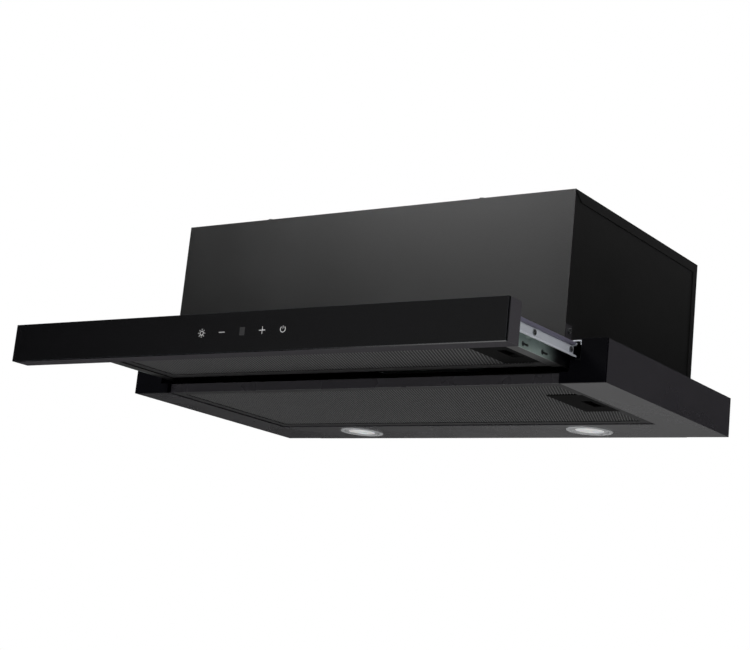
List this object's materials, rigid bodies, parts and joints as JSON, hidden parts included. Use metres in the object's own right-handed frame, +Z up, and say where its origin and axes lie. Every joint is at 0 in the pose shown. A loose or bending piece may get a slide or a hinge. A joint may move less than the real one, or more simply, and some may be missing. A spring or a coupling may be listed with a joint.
{
  "type": "pull out range hood",
  "caption": "Black range hood for a wall cabinet, with a glass-fronted filter shelf that slides out, tilting grease filters, lamps, a centrifugal blower and a round duct collar",
  "frame": {"origin": "centre of the four cabinet fixing holes, on the top faces of the side rails, which seat against the cabinet", "axes": "+X to the right seen from the front, +Y towards the wall, +Z up towards the cabinet and the duct"},
  "size_m": [0.602, 0.4783, 0.2303],
  "materials": {
    "base_black": "smooth satin black powder coat on folded steel",
    "housing_black": "fine-textured satin black coat on folded steel",
    "cap_plastic": "moulded black plastic",
    "panel_black": "satin dark grey coat on folded steel",
    "black_glass": "polished glass, printed black behind",
    "black_tape": "closed-cell foam tape",
    "zinc": "bright zinc plated steel",
    "slide_steel": "zinc plated cold-formed steel",
    "ball_steel": "polished hardened steel balls",
    "screw_steel": "zinc plated steel screws",
    "shelf_black": "satin black coat on folded steel",
    "filter_rim": "black coated aluminium profile",
    "filter_mesh": "black coated expanded aluminium",
    "latch_plastic": "moulded black nylon",
    "spring_steel": "bare spring steel wire",
    "lamp_ring": "satin chromed ring",
    "lamp_lens": "opal diffusing lens",
    "lamp_body": "die-cast aluminium",
    "duct_plastic": "moulded black plastic",
    "flap_plastic": "moulded black plastic",
    "pin_steel": "bright steel rod",
    "scroll_plastic": "moulded grey plastic",
    "impeller_plastic": "moulded dark plastic",
    "motor_steel": "drawn steel can",
    "bracket_steel": "zinc plated steel",
    "capacitor_case": "white plastic case",
    "box_plastic": "moulded flame-retardant plastic",
    "circuit_board": "green circuit board with components",
    "driver_case": "white plastic case",
    "gland_plastic": "moulded black nylon",
    "sensor_plastic": "moulded black plastic",
    "magnet": "ferrite magnet in a plastic shell"
  },
  "bodies": {
    "hood": {"base_rail_left": "base_black", "base_rail_right": "base_black", "rail_cap_left": "cap_plastic", "rail_cap_right": "cap_plastic", "cross_bar": "base_black", "lamp_strip": "base_black", "lamp_bezels": "lamp_ring", "lamp_lenses": "lamp_lens", "lamp_bodies": "lamp_body", "housing_front": "housing_black", "housing_left": "housing_black", "housing_right": "housing_black", "housing_top": "housing_black", "housing_back": "housing_black", "corner_brackets": "base_black", "housing_screws": "screw_steel", "duct_collar": "duct_plastic", "flap_pin": "pin_steel", "scroll_left": "scroll_plastic", "scroll_right": "scroll_plastic", "motor": "motor_steel", "motor_bracket": "bracket_steel", "capacitor": "capacitor_case", "control_box": "box_plastic", "control_box_lid": "box_plastic", "control_board": "circuit_board", "led_driver": "driver_case", "cable_gland": "gland_plastic", "position_sensor": "sensor_plastic", "slide_fixed_left": "slide_steel", "slide_fixed_right": "slide_steel", "slide_screws": "screw_steel"},
    "shelf": {"slide_inner_left": "slide_steel", "slide_inner_right": "slide_steel", "shelf_side_left": "zinc", "shelf_side_right": "zinc", "shelf_frame": "shelf_black", "shelf_screws": "screw_steel", "panel_back": "panel_black", "panel_shell": "panel_black", "glass_tape": "black_tape", "panel_glass": "black_glass", "touch_board": "circuit_board", "sensor_magnet": "magnet"},
    "ball_cages": {"ball_cages": "slide_steel", "slide_balls": "ball_steel"},
    "main_filter": {"main_filter_rim": "filter_rim", "main_filter_mesh": "filter_mesh", "main_latch_plate": "latch_plastic", "main_latch_springs": "spring_steel"},
    "main_latch": {"main_latch_slider": "latch_plastic"},
    "shelf_filter": {"shelf_filter_rim": "filter_rim", "shelf_filter_mesh": "filter_mesh", "shelf_latch_plate": "latch_plastic", "shelf_latch_springs": "spring_steel"},
    "shelf_latch": {"shelf_latch_slider": "latch_plastic"},
    "fan": {"impeller": "impeller_plastic", "motor_shaft": "pin_steel"},
    "flap_front": {"flap_front": "flap_plastic"},
    "flap_rear": {"flap_rear": "flap_plastic"}
  },
  "joints": [
    {"name": "shelf_slide", "type": "slide", "parent": "hood", "child": "shelf", "axis": [0, -1, 0], "range_m": [-0.1635, 0]},
    {"name": "cage_slide", "type": "slide", "parent": "hood", "child": "ball_cages", "axis": [0, -1, 0], "range_m": [-0.08175, 0]},
    {"name": "main_filter_tilt", "type": "hinge", "parent": "hood", "child": "main_filter", "pos_m": [-0.25, 0, -0.04145], "axis": [0, 1, 0], "range_deg": [0, 70]},
    {"name": "shelf_filter_tilt", "type": "hinge", "parent": "shelf", "child": "shelf_filter", "pos_m": [-0.2422, -0.225, -0.02585], "axis": [0, 1, 0], "range_deg": [0, 70]},
    {"name": "main_latch_slide", "type": "slide", "parent": "main_filter", "child": "main_latch", "axis": [-1, 0, 0], "range_m": [0, 0.005], "stiffness_N_per_m": 300, "springref_m": -0.004, "deforming": ["main_latch_springs"]},
    {"name": "shelf_latch_slide", "type": "slide", "parent": "shelf_filter", "child": "shelf_latch", "axis": [-1, 0, 0], "range_m": [0, 0.005], "stiffness_N_per_m": 300, "springref_m": -0.004, "deforming": ["shelf_latch_springs"]},
    {"name": "fan_spin", "type": "hinge", "parent": "hood", "child": "fan", "pos_m": [0, -0.012, 0.079], "axis": [1, 0, 0], "continuous": true},
    {"name": "flap_front_lift", "type": "hinge", "parent": "hood", "child": "flap_front", "pos_m": [0, 0.03, 0.1665], "axis": [-1, 0, 0], "range_deg": [0, 80]},
    {"name": "flap_rear_lift", "type": "hinge", "parent": "hood", "child": "flap_rear", "pos_m": [0, 0.03, 0.1665], "axis": [1, 0, 0], "range_deg": [0, 80]}
  ],
  "couplings": [
    {"joint": "cage_slide", "follows": "shelf_slide", "ratio": 0.5}
  ]
}
